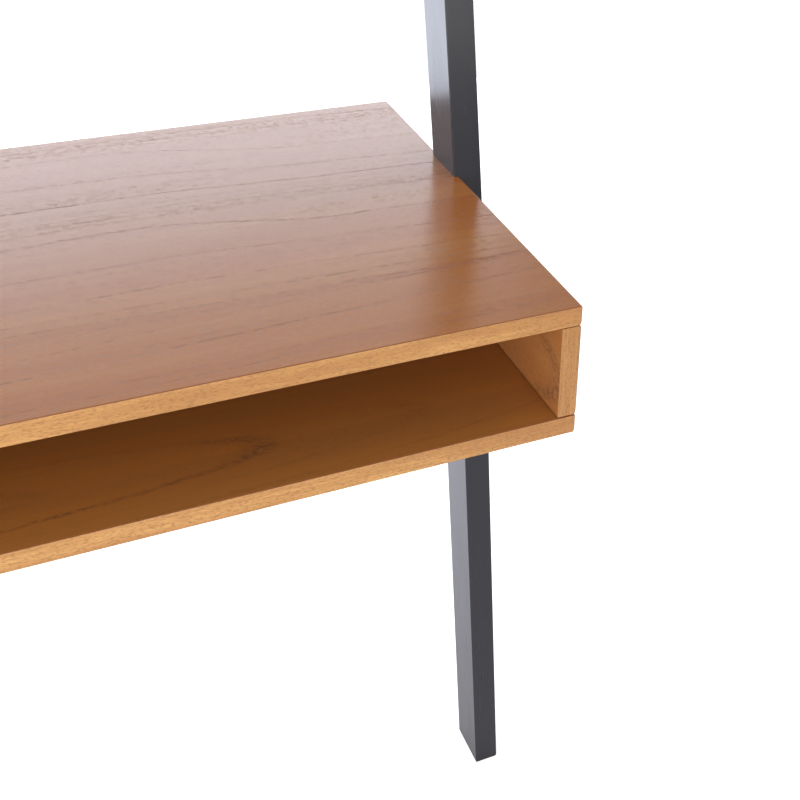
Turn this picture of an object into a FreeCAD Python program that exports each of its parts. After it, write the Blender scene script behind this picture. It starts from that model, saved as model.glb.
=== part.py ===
import FreeCAD, Part
import os

import Sketcher
from FreeCAD import Placement, Rotation, Vector

# Ladder desk, millimetres. X runs along the desk, -Y is its front, +Y the wall it leans on,
# and Z = 0 is the floor. The origin lies on the floor under the middle of the whole desk.
# A boxed desktop and two shelves are housed between two legs. Each leg is two lengths that
# meet in a mitred knee beside the desk box: the lower length is steeper than the upper one.

SIZES = {
    # The desk box: two long boards with an upright panel between them at each end, and a
    # back let into grooves.
    "desk_width": 816,
    "desk_depth": 473,
    "desk_height": 762,
    "board_thickness": 18,
    "cubby_height": 89,
    "board_ease": 0.5,
    "end_ease": 1.2,
    "back_thickness": 12,
    "back_inset": 6,
    "groove_depth": 6,
    "groove_gap": 0.2,
    # The legs, measured square to their lean. The angle is from upright, in degrees.
    "leg_top": 1829,
    "leg_width": 28,
    "leg_depth": 56,
    "leg_ease": 1.1,
    "knee_setback": 255,
    "lower_lean_angle": 5.75,
    "wall_cut_height": 34,
    "pad_thickness": 2.5,
    "pad_inset": 1,
    # How the legs sit in the ends of the boards and shelves.
    "housing_depth": 6,
    "housing_gap": 0.4,
    # The shelves, measured to their top faces; they stand out in front of the legs.
    "lower_shelf_height": 1175,
    "upper_shelf_height": 1535,
    "shelf_overhang": 133,
    # Loose tenons. The seat is the length that goes into the board.
    "panel_tenon_thickness": 6,
    "panel_tenon_width": 36,
    "panel_tenon_length": 24,
    "panel_tenon_seat": 10,
    "panel_tenon_margin": 50,
    "knee_tenon_thickness": 8,
    "knee_tenon_width": 32,
    "knee_tenon_length": 30,
    "mortise_gap": 0.1,
    "end_gap": 0.5,
    # M6 bolts, with the inserts and barrel nuts that they screw into. The reach is how far
    # a shelf bolt goes past the middle of its nut.
    "bolt_diameter": 6,
    "bolt_hole_gap": 0.25,
    "thread_gap": 0.05,
    "leg_bolt_margin": 15,
    "leg_bolt_length": 22,
    "leg_bolt_head": 14,
    "leg_bolt_head_height": 2,
    "insert_diameter": 10,
    "insert_length": 13,
    "insert_gap": 0.05,
    "shelf_bolt_length": 45,
    "shelf_bolt_head": 10,
    "shelf_bolt_head_height": 6,
    "shelf_bolt_sink": 7,
    "shelf_bolt_reach": 3.5,
    "barrel_nut_diameter": 10,
    "barrel_nut_length": 12,
    "bolt_socket_width": 4,
    "bolt_socket_depth": 3,
    # The bent straps at the leg tops, and their screws.
    "strap_thickness": 2,
    "strap_width": 20,
    "strap_drop": 45,
    "strap_leg_length": 38,
    "strap_wall_length": 30,
    "strap_bend": 1,
    "strap_hole_inset": 10,
    "wall_hole_diameter": 5,
    "strap_screw_diameter": 4,
    "strap_screw_length": 16,
    "strap_screw_head": 8,
    "strap_screw_head_height": 2.4,
    "screw_socket_width": 2,
    "screw_socket_depth": 1.6,
}

# Places, leans and fits that follow from the sizes. Each may use the ones above it.
LAYOUT = {
    "front_edge": "-Sizes.desk_depth / 2",
    "wall_plane": "Sizes.desk_depth / 2",
    "board_end": "Sizes.desk_width / 2",
    "panel_inner": "Layout.board_end - Sizes.board_thickness",
    "panel_middle": "Layout.board_end - Sizes.board_thickness / 2",
    "leg_inner": "Layout.board_end - Sizes.housing_depth",
    "leg_outer": "Layout.leg_inner + Sizes.leg_width",
    "cubby_ceiling": "Sizes.desk_height - Sizes.board_thickness",
    "cubby_base": "Layout.cubby_ceiling - Sizes.cubby_height",
    "back_rear": "Layout.wall_plane - Sizes.back_inset",
    "back_front": "Layout.back_rear - Sizes.back_thickness",
    "back_tongue": "Sizes.groove_depth - Sizes.groove_gap",
    "knee_height": "Layout.cubby_base + Sizes.cubby_height / 2",
    "knee_front": "Layout.front_edge + Sizes.knee_setback",
    # The upper leg's back face runs from the knee up to the foot of its plumb cut.
    "upper_rise": "Sizes.leg_top - Sizes.wall_cut_height - Layout.knee_height",
    "upper_run": "Layout.wall_plane - Layout.knee_front",
    "upper_length": "sqrt(Layout.upper_rise ^ 2 + Layout.upper_run ^ 2)",
    "lower_lean": "Sizes.lower_lean_angle * 1 deg",
    "upper_lean": "acos(Sizes.leg_depth / Layout.upper_length)"
                  " - atan(Layout.upper_rise / Layout.upper_run)",
    "mitre_lean": "(Layout.lower_lean + Layout.upper_lean) / 2",
    "half_kink": "(Layout.upper_lean - Layout.lower_lean) / 2",
    "strap_height": "Sizes.leg_top - Sizes.strap_drop",
    "strap_screw_y": "Layout.wall_plane - Sizes.strap_leg_length / 2",
    "bolt_hole": "Sizes.bolt_diameter + 2 * Sizes.bolt_hole_gap",
    "bolt_thread": "Sizes.bolt_diameter + 2 * Sizes.thread_gap",
    "shelf_bolt_seat": "Layout.leg_outer - Sizes.shelf_bolt_sink",
    "shelf_bolt_tip": "Layout.shelf_bolt_seat - Sizes.shelf_bolt_length",
    "barrel_nut_x": "Layout.shelf_bolt_tip + Sizes.shelf_bolt_reach",
}

SHELVES = {"lower_shelf": "Sizes.lower_shelf_height", "upper_shelf": "Sizes.upper_shelf_height"}
TOLERANCE = 1e-6

doc = FreeCAD.newDocument("ladder_desk")
nodes = []


def fill_sheet():
    sheet = doc.addObject("Spreadsheet::Sheet", "Sizes")
    for row, (name, number) in enumerate(SIZES.items(), start=1):
        sheet.set(f"A{row}", name)
        sheet.set(f"B{row}", str(number))
        sheet.setAlias(f"B{row}", name)
    doc.recompute()


def work_out_layout():
    layout = doc.addObject("App::VarSet", "Layout")
    for name, formula in LAYOUT.items():
        is_angle = name.endswith(("_lean", "_kink"))
        layout.addProperty("App::PropertyAngle" if is_angle else "App::PropertyFloat", name)
        layout.setExpression(name, formula)
    doc.recompute()


# --- Lines in the right leg's side view: formulas for Y and Z ---

def leg_line(lean, height, behind):
    """Y at a height of the line that lies `behind` the leg's front face, square to it."""
    rise = f"({height} - Layout.knee_height)"
    return f"Layout.knee_front + {rise} * tan(Layout.{lean}) + ({behind}) / cos(Layout.{lean})"


def knee_point(behind):
    """Y and Z where that line turns, on the mitre between the two lengths of the leg."""
    along = f"({behind}) / cos(Layout.half_kink)"
    return (f"Layout.knee_front + {along} * cos(Layout.mitre_lean)",
            f"Layout.knee_height - {along} * sin(Layout.mitre_lean)")


def leg_bolt_spots():
    """Y and Z of the bolts into the lower and the upper length, on the leg's centre line."""
    heights = {"lower_lean": "(Layout.cubby_base + Sizes.leg_bolt_margin)",
               "upper_lean": "(Layout.cubby_ceiling - Sizes.leg_bolt_margin)"}
    return {lean: (leg_line(lean, height, "Sizes.leg_depth / 2"), height)
            for lean, height in heights.items()}


def shelf_bolt_spot(top):
    """Y and Z of the bolt into a shelf's end, halfway through the shelf and the leg."""
    height = f"({top} - Sizes.board_thickness / 2)"
    return leg_line("upper_lean", height, "Sizes.leg_depth / 2"), height


# --- Small helpers for bodies, sketches and features ---

def new_body(label, x="0", y="0", z="0", is_node=True):
    body = doc.addObject("PartDesign::Body", label)
    body.Label = label
    for axis, place in zip("xyz", (x, y, z)):
        body.setExpression(f"Placement.Base.{axis}", place)
    if is_node:
        nodes.append(body)
    return body


def origin_plane(body, role):
    return next(plane for plane in body.Origin.OriginFeatures if plane.Role == role)


def new_sketch(body, name, role, offset="0"):
    sketch = body.newObject("Sketcher::SketchObject", name)
    sketch.AttachmentSupport = [(origin_plane(body, role), "")]
    sketch.MapMode = "FlatFace"
    sketch.setExpression("AttachmentOffset.Base.z", offset)
    return sketch


def hold_point(sketch, geometry, point, x, y):
    """Tie a point's place in the sketch to two formulas."""
    for kind, formula in (("DistanceX", x), ("DistanceY", y)):
        distance = Sketcher.Constraint(kind, -1, 1, geometry, point,
                                       sketch.evalExpression(formula))
        sketch.setExpression(f"Constraints[{sketch.addConstraint(distance)}]", formula)


def draw_polygon(sketch, corners):
    """A closed outline through corners, each a pair of formulas."""
    spots = [Vector(sketch.evalExpression(x), sketch.evalExpression(y)) for x, y in corners]
    ends = spots[1:] + spots[:1]
    lines = [sketch.addGeometry(Part.LineSegment(*pair)) for pair in zip(spots, ends)]
    for line, following in zip(lines, lines[1:] + lines[:1]):
        sketch.addConstraint(Sketcher.Constraint("Coincident", line, 2, following, 1))
    for line, (x, y) in zip(lines, corners):
        hold_point(sketch, line, 1, x, y)


def draw_rectangle(sketch, left, right, low, high):
    draw_polygon(sketch, [(left, low), (right, low), (right, high), (left, high)])


def draw_centred(sketch, x, y, width, height):
    """A rectangle about a centre."""
    draw_rectangle(sketch, f"{x} - ({width}) / 2", f"{x} + ({width}) / 2",
                   f"{y} - ({height}) / 2", f"{y} + ({height}) / 2")


def draw_circle(sketch, x, y, diameter):
    centre = Vector(sketch.evalExpression(x), sketch.evalExpression(y))
    across = sketch.evalExpression(diameter)
    circle = sketch.addGeometry(Part.Circle(centre, Vector(0, 0, 1), across / 2))
    size = sketch.addConstraint(Sketcher.Constraint("Diameter", circle, across))
    sketch.setExpression(f"Constraints[{size}]", diameter)
    hold_point(sketch, circle, 3, x, y)


def extrude(body, kind, sketch, length, backwards=False):
    """A Pad or Pocket of the sketch. A pocket goes against the sketch's normal by itself."""
    feature = body.newObject(f"PartDesign::{kind}", f"{sketch.Name}_{kind}")
    feature.Profile = sketch
    feature.setExpression("Length", length)
    feature.Reversed = backwards
    doc.recompute()
    return feature


def mirror_features(body, features):
    """Repeat the features at the body's left end."""
    mirrored = body.newObject("PartDesign::Mirrored", f"{body.Name}_left_end")
    mirrored.Originals = features
    mirrored.MirrorPlane = (origin_plane(body, "YZ_Plane"), [""])
    body.Tip = mirrored
    doc.recompute()


def ease_edges(body, feature, kind, amount, chosen=lambda edge: True):
    """A Chamfer or Fillet of the chosen edges of the body's latest feature."""
    names = [f"Edge{number}" for number, edge in enumerate(feature.Shape.Edges, 1) if chosen(edge)]
    eased = body.newObject(f"PartDesign::{kind}", f"{feature.Name}_{kind}")
    eased.Base = (feature, names)
    eased.setExpression("Radius" if kind == "Fillet" else "Size", amount)
    doc.recompute()
    return eased


# --- Boards: the desk box's two, and the shelves ---

def ease_board(body, board):
    """Chamfer the arrises at a board's open ends, and then its other ones, which are finer."""
    open_end = body.evalExpression("Layout.board_end") - body.Placement.Base.x
    ends = ease_edges(body, board, "Chamfer", "Sizes.end_ease",
                      lambda edge: abs(edge.CenterOfMass.x) > open_end - TOLERANCE)
    return ease_edges(body, ends, "Chamfer", "Sizes.board_ease",
                      lambda edge: abs(edge.CenterOfMass.x) < open_end / 2)


def make_board(label, front, top):
    """A board from its front edge to the wall, with its top face at the body's origin."""
    body = new_body(label, z=top)
    outline = new_sketch(body, f"{label}_outline", "XY_Plane")
    draw_rectangle(outline, "-Layout.board_end", "Layout.board_end", front, "Layout.wall_plane")
    board = extrude(body, "Pad", outline, "Sizes.board_thickness", backwards=True)
    ease_board(body, board)
    return body


def leg_seat(low, high, is_kneed):
    """Outline of the leg between two heights, a little larger than the leg all round."""
    front = "-Sizes.housing_gap"
    back = "Sizes.leg_depth + Sizes.housing_gap"
    foot_lean = "lower_lean" if is_kneed else "upper_lean"
    return [
        (leg_line(foot_lean, low, front), low),
        *([knee_point(front)] if is_kneed else []),
        (leg_line("upper_lean", high, front), high),
        (leg_line("upper_lean", high, back), high),
        *([knee_point(back)] if is_kneed else []),
        (leg_line(foot_lean, low, back), low),
    ]


def rout_housing(body, corners, own_x, own_z):
    """Cut the leg's seat into the right end face of a body that has this X and Z."""
    sketch = new_sketch(body, f"{body.Name}_housing", "YZ_Plane", f"Layout.board_end - ({own_x})")
    draw_polygon(sketch, [(y, f"{z} - ({own_z})") for y, z in corners])
    return extrude(body, "Pocket", sketch, "Sizes.housing_depth")


# --- Desk box ---

BOX_SEAT = leg_seat("(Layout.cubby_base - 2 * Sizes.board_thickness)",
                    "(Sizes.desk_height + Sizes.board_thickness)", is_kneed=True)


def panel_tenon_spots():
    """Y of the tenons along an end panel: two in front of the leg and one behind it."""
    leg_front = knee_point("0")[0]
    leg_back = knee_point("Sizes.leg_depth")[0]
    return {
        "front": "Layout.front_edge + Sizes.panel_tenon_margin",
        "middle": f"{leg_front} - Sizes.panel_tenon_margin",
        "rear": f"({leg_back} + Layout.back_front) / 2",
    }


def cut_panel_mortises(body, name, x, face, depth, upwards):
    """A row of mortises in a horizontal face, for the tenons of the right end panel."""
    cuts = []
    for place, y in panel_tenon_spots().items():
        sketch = new_sketch(body, f"{name}_{place}_mortise", "XY_Plane", face)
        draw_centred(sketch, x, y, "Sizes.panel_tenon_thickness + 2 * Sizes.mortise_gap",
                     "Sizes.panel_tenon_width + 2 * Sizes.mortise_gap")
        cuts.append(extrude(body, "Pocket", sketch, depth, backwards=upwards))
    return cuts


def make_box_board(label, top, inner_face, opens_down):
    """A long board of the box: leg housings, a groove for the back, and mortises."""
    body = make_board(label, "Layout.front_edge", top)
    groove = new_sketch(body, f"{label}_groove", "XY_Plane", inner_face)
    groove_end = "(Layout.panel_inner + Sizes.groove_depth)"
    draw_rectangle(groove, f"-{groove_end}", groove_end, "Layout.back_front - Sizes.groove_gap",
                   "Layout.back_rear + Sizes.groove_gap")
    extrude(body, "Pocket", groove, "Sizes.groove_depth", backwards=opens_down)
    housing = rout_housing(body, BOX_SEAT, "0", top)
    mortises = cut_panel_mortises(body, label, "Layout.panel_middle", inner_face,
                                  "Sizes.panel_tenon_seat + Sizes.end_gap", opens_down)
    mirror_features(body, [housing, *mortises])


def make_cubby_side():
    """The right end panel; its origin is the bottom of its inner face."""
    own_x = "Layout.panel_inner"
    own_z = "Layout.cubby_base"
    body = new_body("cubby_side_right", x=own_x, z=own_z)
    outline = new_sketch(body, "side_outline", "YZ_Plane")
    draw_rectangle(outline, "Layout.front_edge", "Layout.wall_plane", "0", "Sizes.cubby_height")
    panel = extrude(body, "Pad", outline, "Sizes.board_thickness")
    ease_board(body, panel)
    rout_housing(body, BOX_SEAT, own_x, own_z)

    groove = new_sketch(body, "side_groove", "XY_Plane")
    draw_rectangle(groove, "0", "Sizes.groove_depth", "Layout.back_front - Sizes.groove_gap",
                   "Layout.back_rear + Sizes.groove_gap")
    extrude(body, "Pocket", groove, "Sizes.cubby_height", backwards=True)

    middle = "Sizes.board_thickness / 2"
    depth = "Sizes.panel_tenon_length - Sizes.panel_tenon_seat + Sizes.end_gap"
    cut_panel_mortises(body, "side_lower", middle, "0", depth, upwards=True)
    cut_panel_mortises(body, "side_upper", middle, "Sizes.cubby_height", depth, upwards=False)

    bolt_holes = new_sketch(body, "side_bolt_holes", "YZ_Plane", "Sizes.board_thickness")
    for y, z in leg_bolt_spots().values():
        draw_circle(bolt_holes, y, f"{z} - {own_z}", "Layout.bolt_hole")
    extrude(body, "Pocket", bolt_holes, "Sizes.board_thickness")
    return body


def make_cubby_back():
    """The back panel, its four edges in the grooves of the box."""
    body = new_body("cubby_back", z="Layout.cubby_base - Layout.back_tongue")
    outline = new_sketch(body, "back_outline", "XY_Plane")
    draw_rectangle(outline, "-(Layout.panel_inner + Layout.back_tongue)",
                   "Layout.panel_inner + Layout.back_tongue",
                   "Layout.back_front", "Layout.back_rear")
    extrude(body, "Pad", outline, "Sizes.cubby_height + 2 * Layout.back_tongue")


# --- Legs ---

def make_leg_length(label, lean, corners):
    """One length of the right leg, with its long edges rounded; X = 0 is its inner face."""
    body = new_body(label, x="Layout.leg_inner")
    outline = new_sketch(body, f"{label}_outline", "YZ_Plane")
    draw_polygon(outline, corners)
    blank = extrude(body, "Pad", outline, "Sizes.leg_width")
    degrees = body.evalExpression(f"Layout.{lean}").Value
    along = Rotation(Vector(1, 0, 0), -degrees).multVec(Vector(0, 0, 1))
    ease_edges(body, blank, "Fillet", "Sizes.leg_ease",
               lambda edge: edge.tangentAt(edge.FirstParameter).cross(along).Length < TOLERANCE)

    insert_hole = new_sketch(body, f"{label}_insert_hole", "YZ_Plane")
    draw_circle(insert_hole, *leg_bolt_spots()[lean],
                "Sizes.insert_diameter + 2 * Sizes.insert_gap")
    extrude(body, "Pocket", insert_hole, "Sizes.insert_length + Sizes.end_gap", backwards=True)
    return body


def cut_knee_mortise(body, upwards):
    """Mortise the mitred end square to its face, halfway through the leg."""
    sketch = new_sketch(body, f"{body.Name}_mortise", "XY_Plane")
    middle_y, middle_z = knee_point("Sizes.leg_depth / 2")
    sketch.AttachmentOffset = Placement(Vector(), Rotation(Vector(1, 0, 0), -1))
    sketch.setExpression("AttachmentOffset.Base.x", "Sizes.leg_width / 2")
    sketch.setExpression("AttachmentOffset.Base.y", middle_y)
    sketch.setExpression("AttachmentOffset.Base.z", middle_z)
    sketch.setExpression("AttachmentOffset.Rotation.Angle", "-Layout.mitre_lean")
    doc.recompute()
    draw_centred(sketch, "0", "0", "Sizes.knee_tenon_thickness + 2 * Sizes.mortise_gap",
                 "Sizes.knee_tenon_width + 2 * Sizes.mortise_gap")
    extrude(body, "Pocket", sketch, "Sizes.knee_tenon_length / 2 + Sizes.end_gap", upwards)


def make_lower_leg():
    """From the foot pad, cut level, up to the knee."""
    foot = "Sizes.pad_thickness"
    body = make_leg_length("lower_leg_right", "lower_lean", [
        (leg_line("lower_lean", foot, "0"), foot),
        knee_point("0"),
        knee_point("Sizes.leg_depth"),
        (leg_line("lower_lean", foot, "Sizes.leg_depth"), foot),
    ])
    cut_knee_mortise(body, upwards=False)
    return body


def make_upper_leg():
    """From the knee up to a level top, cut plumb behind where it meets the wall."""
    top = "Sizes.leg_top"
    body = make_leg_length("upper_leg_right", "upper_lean", [
        knee_point("0"),
        (leg_line("upper_lean", top, "0"), top),
        (leg_line("upper_lean", top, "Sizes.leg_depth"), top),
        knee_point("Sizes.leg_depth"),
    ])
    cut_knee_mortise(body, upwards=True)

    wall_cut = new_sketch(body, "wall_cut", "YZ_Plane")
    draw_rectangle(wall_cut, "Layout.wall_plane", "Layout.wall_plane + Sizes.leg_depth",
                   "Sizes.leg_top - 2 * Sizes.wall_cut_height", "Sizes.leg_top + Sizes.leg_depth")
    extrude(body, "Pocket", wall_cut, "Sizes.leg_width", backwards=True)

    pilot = new_sketch(body, "strap_pilot", "YZ_Plane")
    draw_circle(pilot, "Layout.strap_screw_y", "Layout.strap_height",
                "Sizes.strap_screw_diameter + 2 * Sizes.thread_gap")
    depth = "Sizes.strap_screw_length - Sizes.strap_thickness + Sizes.end_gap"
    extrude(body, "Pocket", pilot, depth, backwards=True)

    shelf_holes = new_sketch(body, "shelf_bolt_holes", "YZ_Plane", "Sizes.leg_width")
    for top in SHELVES.values():
        draw_circle(shelf_holes, *shelf_bolt_spot(top), "Layout.bolt_hole")
    doc.recompute()
    hole = body.newObject("PartDesign::Hole", "shelf_bolt_counterbores")
    hole.Profile = shelf_holes
    hole.DepthType = "ThroughAll"
    hole.HoleCutType = "Counterbore"
    hole.setExpression("Diameter", "Layout.bolt_hole")
    hole.setExpression("HoleCutDiameter", "Sizes.shelf_bolt_head + 2 * Sizes.bolt_hole_gap")
    hole.setExpression("HoleCutDepth", "Sizes.shelf_bolt_sink")
    doc.recompute()
    return body


def make_foot_pad():
    """A thin pad under the foot, a little smaller than the foot all round."""
    body = new_body("foot_pad_right", x="Layout.leg_inner")
    outline = new_sketch(body, "pad_outline", "XY_Plane")
    top = "Sizes.pad_thickness"
    front = leg_line("lower_lean", top, "0")
    back = leg_line("lower_lean", top, "Sizes.leg_depth")
    draw_rectangle(outline, "Sizes.pad_inset", "Sizes.leg_width - Sizes.pad_inset",
                   f"{front} + Sizes.pad_inset", f"{back} - Sizes.pad_inset")
    extrude(body, "Pad", outline, top)
    return body


# --- Shelves ---

def make_shelf(label, top):
    """A board housed on the upper legs and bolted through them into barrel nuts."""
    front = f"{leg_line('upper_lean', top, '0')} - Sizes.shelf_overhang"
    body = make_board(label, front, top)
    seat = leg_seat(f"({top} - 2 * Sizes.board_thickness)",
                    f"({top} + Sizes.board_thickness)", is_kneed=False)
    housing = rout_housing(body, seat, "0", top)

    y, z = shelf_bolt_spot(top)
    bolt_hole = new_sketch(body, f"{label}_bolt_hole", "YZ_Plane", "Layout.leg_inner")
    draw_circle(bolt_hole, y, f"{z} - {top}", "Layout.bolt_hole")
    drilled = extrude(body, "Pocket", bolt_hole, "Layout.leg_inner - Layout.barrel_nut_x")

    nut_hole = new_sketch(body, f"{label}_nut_hole", "XY_Plane", "-Sizes.board_thickness")
    draw_circle(nut_hole, "Layout.barrel_nut_x", y,
                "Sizes.barrel_nut_diameter + 2 * Sizes.insert_gap")
    depth = "(Sizes.board_thickness + Sizes.barrel_nut_length) / 2 + Sizes.end_gap"
    bored = extrude(body, "Pocket", nut_hole, depth, backwards=True)
    mirror_features(body, [housing, drilled, bored])


# --- Loose pieces: one pattern of each, then a linked copy at each place ---

def tenon_pattern(name, thickness, width, length):
    """A flat loose tenon that stands on its origin."""
    body = new_body(name, is_node=False)
    section = new_sketch(body, f"{name}_section", "XY_Plane")
    draw_centred(section, "0", "0", thickness, width)
    extrude(body, "Pad", section, length)
    return body


def bolt_pattern(name, head, head_height, shank, length, socket):
    """A bolt or screw with a hexagon socket: origin under the head, shank pointing up."""
    body = new_body(name, is_node=False)
    profile = new_sketch(body, f"{name}_profile", "XZ_Plane")
    draw_polygon(profile, [
        ("0", f"-{head_height}"),
        (f"{head} / 2", f"-{head_height}"),
        (f"{head} / 2", "0"),
        (f"{shank} / 2", "0"),
        (f"{shank} / 2", length),
        ("0", length),
    ])
    turned = body.newObject("PartDesign::Revolution", f"{name}_turned")
    turned.Profile = profile
    turned.ReferenceAxis = (profile, ["V_Axis"])
    turned.Angle = 360
    doc.recompute()

    hexagon = new_sketch(body, f"{name}_socket", "XY_Plane", f"-{head_height}")
    corner = f"{socket}_width / sqrt(3)"
    draw_polygon(hexagon, [(f"{corner} * cos({turn} deg)", f"{corner} * sin({turn} deg)")
                           for turn in range(0, 360, 60)])
    extrude(body, "Pocket", hexagon, f"{socket}_depth", backwards=True)
    return body


def drilled_rod(name, diameter, length, bore_tilt, bore_length):
    """A rod about its own centre with a threaded bore, along it or across it."""
    rod = doc.addObject("Part::Cylinder", f"{name}_rod")
    bore = doc.addObject("Part::Cylinder", f"{name}_bore")
    bore.Placement = Placement(Vector(), Rotation(Vector(0, 1, 0), bore_tilt))
    rod.setExpression("Radius", f"{diameter} / 2")
    bore.setExpression("Radius", "Layout.bolt_thread / 2")
    rod.setExpression("Height", length)
    bore.setExpression("Height", bore_length)
    rod.setExpression("Placement.Base.z", f"-{length} / 2")
    bore.setExpression(f"Placement.Base.{'x' if bore_tilt else 'z'}", f"-{bore_length} / 2")
    piece = doc.addObject("Part::Cut", name)
    piece.Base = rod
    piece.Tool = bore
    doc.recompute()
    return piece


def make_strap():
    """A steel strip bent square: one arm on the leg's inner face, one flat on the wall."""
    body = new_body("wall_strap", x="Layout.leg_inner", y="Layout.wall_plane",
                    z="Layout.strap_height - Sizes.strap_width / 2", is_node=False)
    outline = new_sketch(body, "strap_outline", "XY_Plane")
    skin = "-Sizes.strap_thickness"
    wall_end = "-Sizes.strap_wall_length"
    leg_end = "-Sizes.strap_leg_length"
    draw_polygon(outline, [("0", "0"), (wall_end, "0"), (wall_end, skin), (skin, skin),
                           (skin, leg_end), ("0", leg_end)])
    strip = extrude(body, "Pad", outline, "Sizes.strap_width")
    inner = body.evalExpression(skin)
    bend = ease_edges(body, strip, "Fillet", "Sizes.strap_bend",
                      lambda edge: is_upright_at(edge, inner, inner))
    ease_edges(body, bend, "Fillet", "Sizes.strap_bend + Sizes.strap_thickness",
               lambda edge: is_upright_at(edge, 0, 0))

    middle = "Sizes.strap_width / 2"
    wall_hole = new_sketch(body, "strap_wall_hole", "XZ_Plane")
    draw_circle(wall_hole, f"{wall_end} + Sizes.strap_hole_inset", middle,
                "Sizes.wall_hole_diameter")
    extrude(body, "Pocket", wall_hole, "Sizes.strap_thickness", backwards=True)
    screw_hole = new_sketch(body, "strap_screw_hole", "YZ_Plane")
    draw_circle(screw_hole, "Layout.strap_screw_y - Layout.wall_plane", middle,
                "Sizes.strap_screw_diameter + 2 * Sizes.bolt_hole_gap")
    extrude(body, "Pocket", screw_hole, "Sizes.strap_thickness")
    return body


def is_upright_at(edge, x, y):
    """Whether the edge is the vertical one through x, y."""
    spot = Vector(x, y)
    ends = [Vector(vertex.X, vertex.Y) for vertex in edge.Vertexes]
    return all(end.distanceToPoint(spot) < TOLERANCE for end in ends)


def link_copies(pattern, spots, axis=Vector(0, 1, 0), angle="0"):
    """The right side's copies of a pattern piece, all turned the same way."""
    copies = []
    for number, spot in enumerate(spots, 1):
        copy = doc.addObject("App::Link", f"{pattern.Name}_{number}")
        copy.LinkedObject = pattern
        copy.Placement = Placement(Vector(), Rotation(axis, 1))
        for name, place in zip("xyz", spot):
            copy.setExpression(f"Placement.Base.{name}", place)
        copy.setExpression("Placement.Rotation.Angle", angle)
        copies.append(copy)
    return copies


def mirror_to_left(source, label):
    """The same thing on the left side of the desk."""
    copy = doc.addObject("Part::Mirroring", label)
    copy.Label = label
    copy.Source = source
    copy.Normal = Vector(1, 0, 0)
    return copy


def make_pair(right, name):
    """The right piece is a node already; its mirror image is the left node."""
    nodes.append(mirror_to_left(right, f"{name}_left"))


def make_group(name, pieces):
    """One node of like pieces: those of the right side and their mirror images."""
    right = doc.addObject("Part::Compound", f"{name}_of_right")
    right.Links = pieces
    group = doc.addObject("Part::Compound", name)
    group.Label = name
    group.Links = [right, mirror_to_left(right, f"{name}_of_left")]
    nodes.append(group)


ONTO_X = "90 deg"
ONTO_MINUS_X = "-90 deg"


def make_tenons():
    panel = tenon_pattern("panel_tenon", "Sizes.panel_tenon_thickness",
                          "Sizes.panel_tenon_width", "Sizes.panel_tenon_length")
    starts = ["Layout.cubby_base - Sizes.panel_tenon_seat",
              "Layout.cubby_ceiling + Sizes.panel_tenon_seat - Sizes.panel_tenon_length"]
    spots = [("Layout.panel_middle", y, z) for z in starts for y in panel_tenon_spots().values()]
    make_group("panel_tenons", link_copies(panel, spots))

    knee = tenon_pattern("knee_tenon", "Sizes.knee_tenon_thickness",
                         "Sizes.knee_tenon_width", "Sizes.knee_tenon_length")
    middle_y, middle_z = knee_point("Sizes.leg_depth / 2")
    spot = ("Layout.leg_inner + Sizes.leg_width / 2",
            f"{middle_y} - Sizes.knee_tenon_length / 2 * sin(Layout.mitre_lean)",
            f"{middle_z} - Sizes.knee_tenon_length / 2 * cos(Layout.mitre_lean)")
    make_group("knee_tenons", link_copies(knee, [spot], Vector(1, 0, 0), "-Layout.mitre_lean"))


def make_leg_bolts():
    bolt = bolt_pattern("leg_bolt", "Sizes.leg_bolt_head", "Sizes.leg_bolt_head_height",
                        "Sizes.bolt_diameter", "Sizes.leg_bolt_length", "Sizes.bolt_socket")
    spots = [("Layout.panel_inner", y, z) for y, z in leg_bolt_spots().values()]
    make_group("leg_bolts", link_copies(bolt, spots, angle=ONTO_X))

    insert = drilled_rod("leg_insert", "Sizes.insert_diameter", "Sizes.insert_length",
                         0, "Sizes.insert_length")
    middle = "Layout.leg_inner + Sizes.insert_length / 2"
    spots = [(middle, y, z) for y, z in leg_bolt_spots().values()]
    make_group("leg_inserts", link_copies(insert, spots, angle=ONTO_X))


def make_shelf_bolts():
    bolt = bolt_pattern("shelf_bolt", "Sizes.shelf_bolt_head", "Sizes.shelf_bolt_head_height",
                        "Sizes.bolt_diameter", "Sizes.shelf_bolt_length", "Sizes.bolt_socket")
    spots = [("Layout.shelf_bolt_seat", *shelf_bolt_spot(top)) for top in SHELVES.values()]
    make_group("shelf_bolts", link_copies(bolt, spots, angle=ONTO_MINUS_X))

    nut = drilled_rod("barrel_nut", "Sizes.barrel_nut_diameter", "Sizes.barrel_nut_length",
                      90, "Sizes.barrel_nut_diameter")
    spots = [("Layout.barrel_nut_x", *shelf_bolt_spot(top)) for top in SHELVES.values()]
    make_group("shelf_barrel_nuts", link_copies(nut, spots))


def make_strap_screws():
    screw = bolt_pattern("strap_screw", "Sizes.strap_screw_head", "Sizes.strap_screw_head_height",
                         "Sizes.strap_screw_diameter", "Sizes.strap_screw_length",
                         "Sizes.screw_socket")
    spot = ("Layout.leg_inner - Sizes.strap_thickness", "Layout.strap_screw_y",
            "Layout.strap_height")
    make_group("bracket_screws", link_copies(screw, [spot], angle=ONTO_X))


# --- The whole desk ---

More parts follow.
